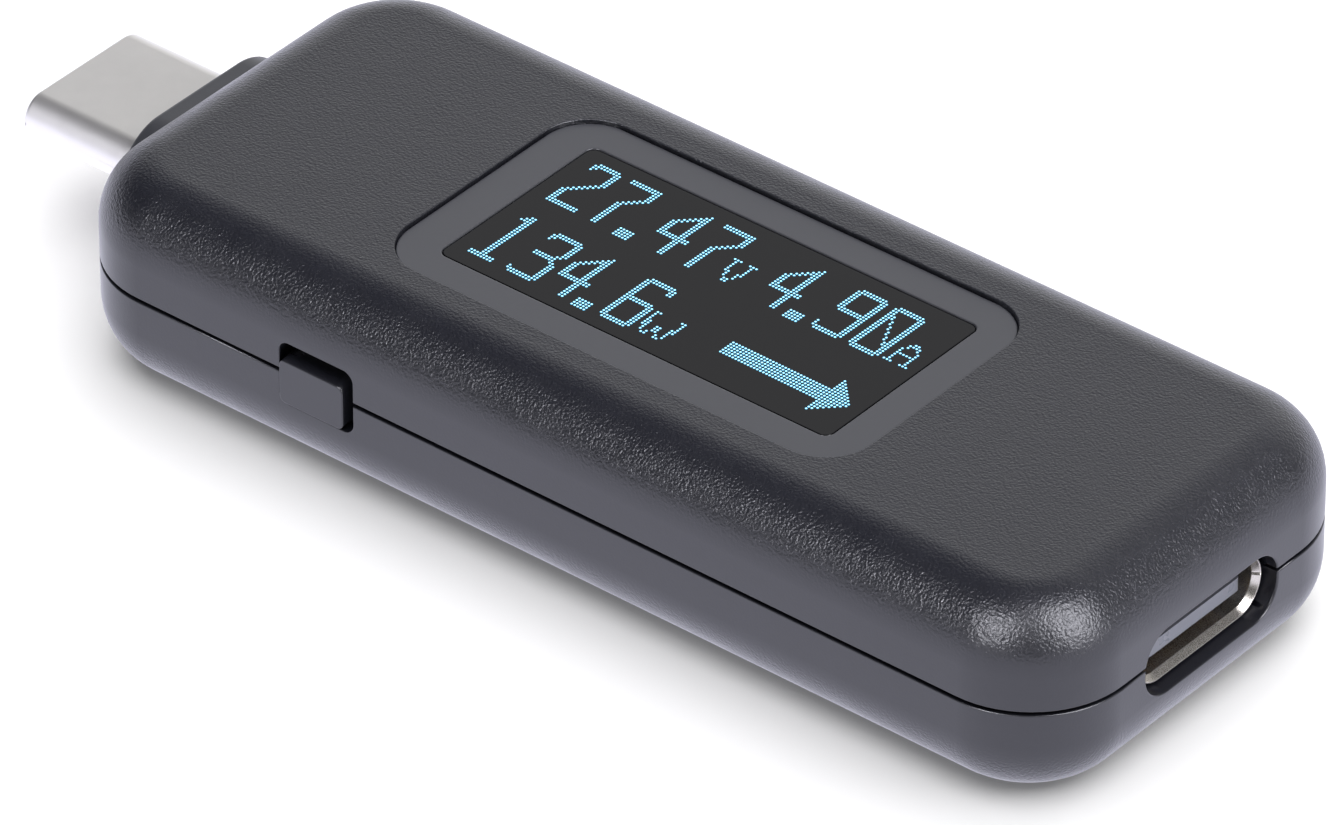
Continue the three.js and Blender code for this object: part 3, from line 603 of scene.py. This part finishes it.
DOT_PITCH_ALONG = 0.1763 * MM
DOT_PITCH_DOWN = 0.1785 * MM
DOT_SIZE = 0.132 * MM
DOT_CORE = 0.088 * MM
DOT_THICK = 0.004 * MM
SCREEN_COLUMNS = 128
SCREEN_ROWS = 64
SCREEN_TURN = math.radians(-0.65)
SCREEN_RISE = 0.048 * MM

# Big digits, on a grid whose first row is 0. A bar is left, top, right and bottom, both ends lit.
# A slope runs from one dot to another and is two dots wide, and a thin one is one dot wide.
BIG_DIGITS = {
    "0": {
        "bars": [
            (1, 0, 8, 0), (0, 1, 9, 1), (0, 2, 1, 18), (8, 2, 9, 18), (0, 19, 9, 19),
            (1, 20, 8, 20),
        ],
        "thin": [(2, 4, 7, 15)],
    },
    "1": {
        "bars": [(3, -1, 4, -1), (2, 0, 4, 0), (1, 1, 4, 1), (3, 2, 4, 18), (0, 19, 7, 20)],
    },
    "2": {
        "bars": [
            (1, 0, 7, 0), (0, 1, 8, 1), (0, 2, 1, 2), (0, 3, 0, 3), (7, 2, 8, 7), (0, 14, 1, 18),
            (0, 19, 9, 20),
        ],
        "slopes": [(6, 8, 1, 13)],
    },
    "3": {
        "bars": [
            (1, 0, 8, 0), (0, 1, 9, 1), (0, 2, 1, 2), (0, 3, 0, 3), (8, 2, 9, 7), (7, 8, 8, 8),
            (1, 9, 7, 10), (7, 11, 8, 11), (8, 12, 9, 18), (0, 18, 0, 19), (1, 19, 9, 19),
            (1, 20, 8, 20),
        ],
    },
    "4": {
        "bars": [(7, 0, 7, 0), (6, 1, 7, 20), (0, 7, 1, 11), (0, 12, 9, 13)],
        "slopes": [(5, 2, 1, 6)],
    },
    "6": {
        "bars": [
            (1, 0, 8, 0), (0, 1, 9, 1), (8, 2, 9, 3), (0, 2, 1, 18), (2, 9, 8, 9), (2, 10, 9, 10),
            (8, 11, 9, 18), (0, 19, 9, 19), (1, 20, 8, 20),
        ],
    },
    "7": {"bars": [(0, 0, 9, 1), (8, 2, 9, 5), (3, 10, 4, 20)], "slopes": [(7, 6, 4, 9)]},
    "9": {
        "bars": [
            (1, 0, 8, 0), (0, 1, 9, 1), (0, 2, 1, 8), (0, 9, 9, 9), (1, 10, 9, 10), (8, 2, 9, 18),
            (0, 17, 0, 19), (1, 19, 9, 19), (1, 20, 8, 20),
        ],
    },
    ".": {"bars": [(0, 18, 4, 21)]},
}
SMALL_LETTERS = {
    "v": [
        "###..###",
        ".#....#.",
        ".#....#.",
        ".#....#.",
        ".#....#.",
        ".##..##.",
        "..#..#..",
        "..#..#..",
        "...##...",
        "...##...",
    ],
    "a": [
        "...##...",
        "..####..",
        "..#..#..",
        ".#....#.",
        ".#....#.",
        ".######.",
        ".#....#.",
        ".#....#.",
        ".#....#.",
        "###..###",
    ],
    "w": [
        "##......##",
        "#........#",
        "#........#",
        "#........#",
        "##......##",
        "##..##..##",
        "##..##..#.",
        ".#..##..#.",
        ".#.#..#.#.",
        "..##..##..",
    ],
}
SMALL_TOP = 10
# What the readout says, line by line: the line's first row, then each glyph and its first column.
READOUT = [
    (7, [("2", 6), ("7", 18), (".", 29), ("4", 37), ("7", 49), ("v", 60), ("4", 74), (".", 85),
         ("9", 93), ("0", 105), ("a", 116)]),
    (37, [("1", 6), ("3", 18), ("4", 30), (".", 41), ("6", 49), ("w", 60)]),
]
ARROW_SHAFT = (83, 45, 114, 50)
ARROW_HEAD_START = 115
ARROW_HEAD_HALF = 8


def bar_dots(bar):
    left, top, right, bottom = bar
    return {(c, r) for c in range(left, right + 1) for r in range(top, bottom + 1)}


def slope_dots(slope, width):
    x0, y0, x1, y1 = slope
    dots = set()
    for row in range(y0, y1 + 1):
        column = round(x0 + (x1 - x0) * (row - y0) / (y1 - y0))
        dots |= {(column + i, row) for i in range(width)}
    return dots


def glyph_dots(glyph):
    if glyph in SMALL_LETTERS:
        rows = SMALL_LETTERS[glyph]
        return {
            (c, r + SMALL_TOP)
            for r, row in enumerate(rows)
            for c, mark in enumerate(row)
            if mark == "#"
        }
    strokes = BIG_DIGITS[glyph]
    dots = set()
    for bar in strokes["bars"]:
        dots |= bar_dots(bar)
    for slope in strokes.get("slopes", []):
        dots |= slope_dots(slope, 2)
    for line in strokes.get("thin", []):
        dots |= slope_dots(line, 1)
    return dots


def lit_dots():
    dots = set()
    for top, glyphs in READOUT:
        for glyph, left in glyphs:
            dots |= {(left + c, top + r) for c, r in glyph_dots(glyph)}
    dots |= bar_dots(ARROW_SHAFT)
    middle = (ARROW_SHAFT[1] + ARROW_SHAFT[3]) // 2
    for step in range(ARROW_HEAD_HALF):
        half = ARROW_HEAD_HALF - step
        column = ARROW_HEAD_START + step
        dots |= bar_dots((column, middle - half + 1, column, middle + half))
    return sorted(dots)


def make_display():
    centre_x = (panel_low.x + panel_high.x) / 2
    lens_x = (lens_low.x + lens_high.x) / 2
    outline_size = (panel_high.x - panel_low.x, panel_high.y - panel_low.y)
    lens_size = (lens_high.x - lens_low.x, lens_high.y - lens_low.y)
    window = [size + 2 * LENS_GAP for size in lens_size]
    edge = [
        (PANEL_EDGE * across, PANEL_EDGE * (1 - along))
        for across, along in quarter_round(SOFT_EDGE_STEPS)
    ]

    def outer(inset, z):
        outline = rounded_rectangle(
            outline_size[0] - 2 * inset, outline_size[1] - 2 * inset, PANEL_CORNER - inset
        )
        return flat_ring(outline, z, centre_x)

    def inner(grow, z):
        outline = rounded_rectangle(
            window[0] + 2 * grow, window[1] + 2 * grow, WINDOW_CORNER + grow
        )
        return flat_ring(outline, z, lens_x)

    rings = [outer(0, panel_low.z)]
    rings += [outer(inset, panel_high.z - drop) for inset, drop in edge]
    rings.append(outer(PANEL_EDGE + EDGE_SUPPORT, panel_high.z))
    rings.append(inner(PANEL_EDGE + EDGE_SUPPORT, panel_high.z))
    rings += [inner(grow, panel_high.z - drop) for grow, drop in reversed(edge)]
    rings.append(inner(0, panel_low.z))
    panel = skin("display_panel", rings, ring_closed=True)
    settle(panel)
    panel.data.materials.append(panel_material())
    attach(panel, "casing")
    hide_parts("display_frame")

    def pane(inset, z):
        outline = rounded_rectangle(
            lens_size[0] - 2 * inset, lens_size[1] - 2 * inset, WINDOW_CORNER - LENS_GAP - inset
        )
        return flat_ring(outline, z, lens_x)

    rings = [pane(0, lens_low.z)]
    rings += [pane(inset, lens_high.z - drop) for inset, drop in edge]
    lens = skin("window_lens", rings)
    settle(lens)
    lens.data.materials.append(lens_material())
    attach(lens, "casing")
    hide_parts("display_lens")
    make_readout(lens_x, lens_high.z)


def dot_form(form, place, size, material_index):
    """One tile of a lit dot, a thin octagon standing on place."""
    half = size / 2
    side = half / 3
    outline = [
        (half, -side), (half, side), (side, half), (-side, half),
        (-half, side), (-half, -side), (-side, -half), (side, -half),
    ]
    low = [form.verts.new(place + Vector((u, v, 0))) for u, v in outline]
    high = [form.verts.new(place + Vector((u, v, DOT_THICK))) for u, v in outline]
    faces = [form.faces.new(high), form.faces.new(list(reversed(low)))]
    for i in range(len(outline)):
        j = (i + 1) % len(outline)
        faces.append(form.faces.new((low[i], low[j], high[j], high[i])))
    for face in faces:
        face.material_index = material_index


def make_readout(centre_x, top_z):
    form = bmesh.new()
    for column, row in lit_dots():
        across = (column + 0.5 - SCREEN_COLUMNS / 2) * DOT_PITCH_ALONG
        down = (row + 0.5 - SCREEN_ROWS / 2) * DOT_PITCH_DOWN
        x = centre_x + across * math.cos(SCREEN_TURN) + down * math.sin(SCREEN_TURN)
        y = across * math.sin(SCREEN_TURN) - down * math.cos(SCREEN_TURN) + SCREEN_RISE
        dot_form(form, Vector((x, y, top_z)), DOT_SIZE, 0)
        dot_form(form, Vector((x, y, top_z + 2 * DOT_THICK)), DOT_CORE, 1)
    mesh = bpy.data.meshes.new("display_dots")
    form.to_mesh(mesh)
    form.free()
    dots = new_object("display_dots", mesh)
    mesh.materials.append(glowing("dot_edge", (0.07, 0.45, 0.76), 1.25))
    mesh.materials.append(glowing("dot_core", (0.46, 0.95, 1.15), 1.8))
    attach(dots, "casing")


# ---- button ----


def make_button():
    """The cap and its flange; the cap's front is chamfered, most of all along its upper side."""
    left, right, lower, upper = BUTTON_CHAMFER

    def cap(depth, inset=0):
        """The cap's section at a depth behind its front."""
        share = max(0, 1 - depth / BUTTON_CHAMFER_DEPTH)
        x0 = BUTTON_X[0] + left * share + inset
        x1 = BUTTON_X[1] - right * share - inset
        z0 = BUTTON_Z[0] + lower * share + inset
        z1 = BUTTON_Z[1] - upper * share - inset
        corner = BUTTON_CORNER + (BUTTON_FRONT_CORNER - BUTTON_CORNER) * share - inset
        outline = rounded_rectangle(x1 - x0, z1 - z0, corner)
        return side_ring(outline, front + depth, (x0 + x1) / 2, (z0 + z1) / 2)

    front = button_low.y
    rings = [
        cap(BUTTON_EDGE * (1 - along), BUTTON_EDGE * across)
        for across, along in reversed(quarter_round(BUTTON_EDGE_STEPS))
    ]
    rings.append(cap(BUTTON_CHAMFER_DEPTH))
    rings.append(cap(FLANGE_FRONT_Y - front))
    flange = rounded_rectangle(
        button_high.x - button_low.x, button_high.z - button_low.z, FLANGE_CORNER
    )
    flange_centre = ((button_low.x + button_high.x) / 2, (button_low.z + button_high.z) / 2)
    rings.append(side_ring(flange, FLANGE_FRONT_Y, *flange_centre))
    rings.append(side_ring(flange, button_high.y, *flange_centre))
    button = skin("side_button", rings)
    settle(button)
    button.data.materials.append(
        moulded("button_plastic", (0.0125, 0.013, 0.018), 0.30, 0.12 * MM, 0.002 * MM, 0.05, 1.6)
    )
    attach(button, "button")
    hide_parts("button_cap")


# ---- plug ----


def stadium(width, height, inset):
    return rounded_rectangle(
        width - 2 * inset, height - 2 * inset, height / 2 - inset, ROUND_STEPS
    )


def metal_tube(name, low, high, wall, mouth_x, other_x, z, outer_soft, lead_in):
    """A shell of stadium section along X, its mouth rounded outside and easing outwards inside.

    lead_in is how far the inside opens, and over what length.
    """
    width = high.y - low.y
    height = high.z - low.z
    into = 1 if other_x > mouth_x else -1
    opens, length = lead_in

    def ring(inset, x):
        return end_ring(stadium(width, height, inset), x, z)

    rings = [ring(0, other_x)]
    rings += [
        ring(outer_soft * across, mouth_x + into * outer_soft * (1 - along))
        for across, along in quarter_round(TUBE_EDGE_STEPS)
    ]
    rings += [
        ring(wall - opens * (1 - share), mouth_x + into * length * share)
        for share in LEAD_IN_SHARES
    ]
    rings.append(ring(wall, mouth_x + into * (length + EDGE_SUPPORT)))
    rings.append(ring(wall, other_x))
    return skin(name, rings, ring_closed=True)


def make_plug():
    shell = metal_tube(
        "plug_sleeve", plug_low, plug_high, PLUG_WALL, plug_low.x, plug_high.x, PLUG_Z,
        PLUG_TIP_ROUND, PLUG_LEAD_IN,
    )
    settle(shell)
    shell.data.materials.append(plated("plug_nickel", (0.78, 0.765, 0.75), 0.46, (1, 6, 6)))
    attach(shell, "casing")
    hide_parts("plug_shell")

    width, height = COLLAR_SIZE
    hole = (plug_high.y - plug_low.y + 2 * COLLAR_GAP, plug_high.z - plug_low.z + 2 * COLLAR_GAP)
    flange = (collar_high.y - collar_low.y, collar_high.z - collar_low.z)
    flange_start = collar_high.x - COLLAR_FLANGE
    rings = [
        end_ring(
            stadium(width, height, COLLAR_EDGE * across),
            collar_low.x + COLLAR_EDGE * (1 - along),
            PLUG_Z,
        )
        for across, along in reversed(quarter_round(COLLAR_EDGE_STEPS))
    ]
    rings.append(end_ring(stadium(width, height, 0), flange_start, PLUG_Z))
    rings.append(end_ring(stadium(*flange, 0), flange_start, PLUG_Z))
    rings.append(end_ring(stadium(*flange, 0), collar_high.x, PLUG_Z))
    rings.append(end_ring(stadium(*hole, 0), collar_high.x, PLUG_Z))
    rings.append(end_ring(stadium(*hole, 0), collar_low.x + COLLAR_HOLE_EDGE, PLUG_Z))
    rings.append(end_ring(stadium(*hole, -COLLAR_HOLE_EDGE), collar_low.x, PLUG_Z))
    collar = skin("plug_surround", rings, ring_closed=True)
    settle(collar)
    collar.data.materials.append(
        moulded("collar_plastic", (0.028, 0.029, 0.033), 0.42, 0.12 * MM, 0.003 * MM)
    )
    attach(collar, "casing")
    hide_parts("plug_collar")


# ---- socket ----


def make_socket():
    width = socket_high.z - socket_low.z + SOCKET_WIDER
    low = Vector((socket_low.x, -width / 2, socket_low.z))
    high = Vector((socket_high.x, width / 2, socket_high.z))
    shell = metal_tube(
        "socket_sleeve", low, high, SOCKET_WALL, socket_high.x, socket_low.x, SOCKET_Z,
        SOCKET_RIM_ROUND, SOCKET_LEAD_IN,
    )
    settle(shell)
    # Nickel plating, painted darker than the plug's nickel as painted shade: the mouth's reflection
    # then reads as the shadowed floor beside the casing's end.
    shell.data.materials.append(plated("socket_nickel_painted_shade", (0.56, 0.53, 0.48), 0.27, (1, 6, 6)))
    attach(shell, "casing")
    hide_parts("socket_shell")


# ---- CAD nodes that stay, with their own materials ----


def node_materials():
    """Material slot of the record to a finished material."""
    return {
        "screen_film": moulded("screen_film", (0.006, 0.006, 0.007), 0.25, 0.4 * MM, 0.0005 * MM),
        "screen_glass": moulded("screen_glass", (0.008, 0.008, 0.01), 0.12, 0.4 * MM, 0.0005 * MM),
        "chip_black": moulded("chip_epoxy", (0.018, 0.018, 0.02), 0.5, 0.05 * MM, 0.003 * MM),
        "ribbon": moulded("ribbon_film", (0.25, 0.11, 0.03), 0.35, 0.3 * MM, 0.001 * MM),
        "foam": moulded("foam_tape", (0.022, 0.022, 0.024), 0.9, 0.12 * MM, 0.03 * MM),
        "board": moulded("board_resist", (0.008, 0.055, 0.028), 0.35, 0.4 * MM, 0.002 * MM),
        "moulded_black": moulded(
            "black_moulding", (0.014, 0.014, 0.015), 0.45, 0.06 * MM, 0.002 * MM
        ),
        "switch_steel": plated("switch_steel", (0.55, 0.54, 0.52), 0.3),
        "spring_steel": plated("spring_steel", (0.5, 0.49, 0.47), 0.28),
        "contact_gold": plated("contact_gold", (0.83, 0.58, 0.24), 0.2),
        "tongue": moulded("tongue_plastic", (0.19, 0.198, 0.235), 0.3, 0.08 * MM, 0.001 * MM, 0.04),
        "part_metal": plated("part_tin", (0.6, 0.59, 0.57), 0.35),
        "ceramic": moulded("ceramic_body", (0.42, 0.3, 0.18), 0.45, 0.06 * MM, 0.002 * MM),
    }


def finish_nodes():
    materials = node_materials()
    for row in frame["record"]["subparts"]:
        material = materials.get(row["material_slot"])
        if material is None:
            continue
        node = frame["nodes"][row["node"]]
        node.data.materials.clear()
        node.data.materials.append(material)


# ---- stage ----

FLOOR_HALF = 1.5
FLOOR_DROP = 0.02 * MM  # keeps the floor clear of the casing's flat underside
CARD_DEPTH = 0.5 * MM


def flat_square(name, half, z):
    mesh = bpy.data.meshes.new(name)
    corners = [(-half, -half, z), (half, -half, z), (half, half, z), (-half, half, z)]
    mesh.from_pydata(corners, [], [(0, 1, 2, 3)])
    return new_object(name, mesh)


def self_lit(material, colour, strength):
    shader = shader_of(material)
    shader.inputs["Specular IOR Level"].default_value = 0.1
    shader.inputs["Emission Color"].default_value = (*colour, 1)
    shader.inputs["Emission Strength"].default_value = strength


def make_floor():
    """A pale paper floor, and under it the lit table that only reflections show."""
    floor = flat_square("floor", FLOOR_HALF, -FLOOR_DROP)
    paper = new_material("floor_paper", (0.85, 0.845, 0.80), 0.9)
    self_lit(paper, (1, 1, 1), 0.10)
    floor.data.materials.append(paper)
    floor.visible_glossy = False
    card = flat_square("lit_table", FLOOR_HALF, -CARD_DEPTH)
    glow = new_material("table_glow", (0.1, 0.1, 0.1), 0.9)
    self_lit(glow, (0.93, 0.93, 1.10), 1.45)
    card.data.materials.append(glow)
    card.visible_camera = False
    card.visible_diffuse = False
    card.visible_shadow = False
    card.visible_transmission = False


LIGHT_COLOUR = (0.97, 0.97, 1.05)
# Each light: name, azimuth, elevation, distance, size, power, and the rays that do not see it.
AREA_LIGHTS = [
    ("near_softbox", 180, 36, 0.9, (0.20, 0.48), 7.5, "visible_diffuse"),
    ("end_softbox", 90, 40, 0.9, (0.42, 0.90), 13.5, "visible_diffuse"),
    ("dome", 30, 81, 0.8, (1.5, 1.5), 18.4, "visible_glossy"),
]


def area_light(name, azimuth, elevation, distance, size, power, hidden_from):
    """A rectangular light that faces the origin."""
    data = bpy.data.lights.new(name, "AREA")
    data.shape = "RECTANGLE"
    data.size, data.size_y = size
    data.energy = power
    light = bpy.data.objects.new(name, data)
    bpy.context.scene.collection.objects.link(light)
    direction = toward(azimuth, elevation)
    light.location = direction * distance
    data.color = LIGHT_COLOUR
    light.rotation_euler = direction.to_track_quat("Z", "Y").to_euler()
    setattr(light, hidden_from, False)


def toward(azimuth, elevation):
    """The unit direction at an azimuth from +Y towards +X, and an elevation, in degrees."""
    azimuth = math.radians(azimuth)
    elevation = math.radians(elevation)
    flat = math.cos(elevation)
    return Vector((flat * math.sin(azimuth), flat * math.cos(azimuth), math.sin(elevation)))


def add_glow(world, place, total, direction, reach, amount):
    """Adds a soft glow to the room, brightest along direction and gone beyond reach degrees."""
    nodes = world.node_tree.nodes
    links = world.node_tree.links
    turn = nodes.new("ShaderNodeVectorMath")
    turn.operation = "DOT_PRODUCT"
    turn.inputs[1].default_value = direction
    ramp = nodes.new("ShaderNodeMapRange")
    ramp.interpolation_type = "SMOOTHSTEP"
    ramp.inputs["From Min"].default_value = math.cos(math.radians(reach))
    ramp.inputs["From Max"].default_value = 1
    ramp.inputs["To Min"].default_value = 0
    ramp.inputs["To Max"].default_value = amount
    join = nodes.new("ShaderNodeMath")
    join.operation = "ADD"
    links.new(place.outputs["Generated"], turn.inputs[0])
    links.new(turn.outputs["Value"], ramp.inputs["Value"])
    links.new(ramp.outputs["Result"], join.inputs[0])
    links.new(total, join.inputs[1])
    return join.outputs["Value"]


ROOM_BASE = 0.025
HORIZON_TOP = 0.24
HORIZON_GLOW = 0.55
# Each glow of the room: azimuth, elevation, reach and amount.
ROOM_GLOWS = [
    (-22, 18, 52, 0.95),
    (30, 2, 34, 0.25),
    (95, 45, 42, 0.35),
]


def make_world():
    """A dim studio room: a pale horizon, and glows on its far side and high over its right end."""
    world = bpy.data.worlds.new("studio")
    bpy.context.scene.world = world
    world.use_nodes = True
    nodes = world.node_tree.nodes
    links = world.node_tree.links
    place = nodes.new("ShaderNodeTexCoord")
    height = nodes.new("ShaderNodeSeparateXYZ")
    band = nodes.new("ShaderNodeMapRange")
    band.interpolation_type = "SMOOTHSTEP"
    band.inputs["From Min"].default_value = 0
    band.inputs["From Max"].default_value = HORIZON_TOP
    band.inputs["To Min"].default_value = ROOM_BASE + HORIZON_GLOW
    band.inputs["To Max"].default_value = ROOM_BASE
    links.new(place.outputs["Generated"], height.inputs["Vector"])
    links.new(height.outputs["Z"], band.inputs["Value"])
    total = band.outputs["Result"]
    for azimuth, elevation, reach, amount in ROOM_GLOWS:
        total = add_glow(world, place, total, toward(azimuth, elevation), reach, amount)
    nodes["Background"].inputs["Color"].default_value = (1, 1, 1, 1)
    links.new(total, nodes["Background"].inputs["Strength"])


def make_stage():
    scene = bpy.context.scene
    scene.view_settings.view_transform = "Standard"
    make_world()
    make_floor()
    for light in AREA_LIGHTS:
        area_light(*light)


make_camera()
make_casing()
make_display()
make_button()
make_plug()
make_socket()
finish_nodes()
make_stage()
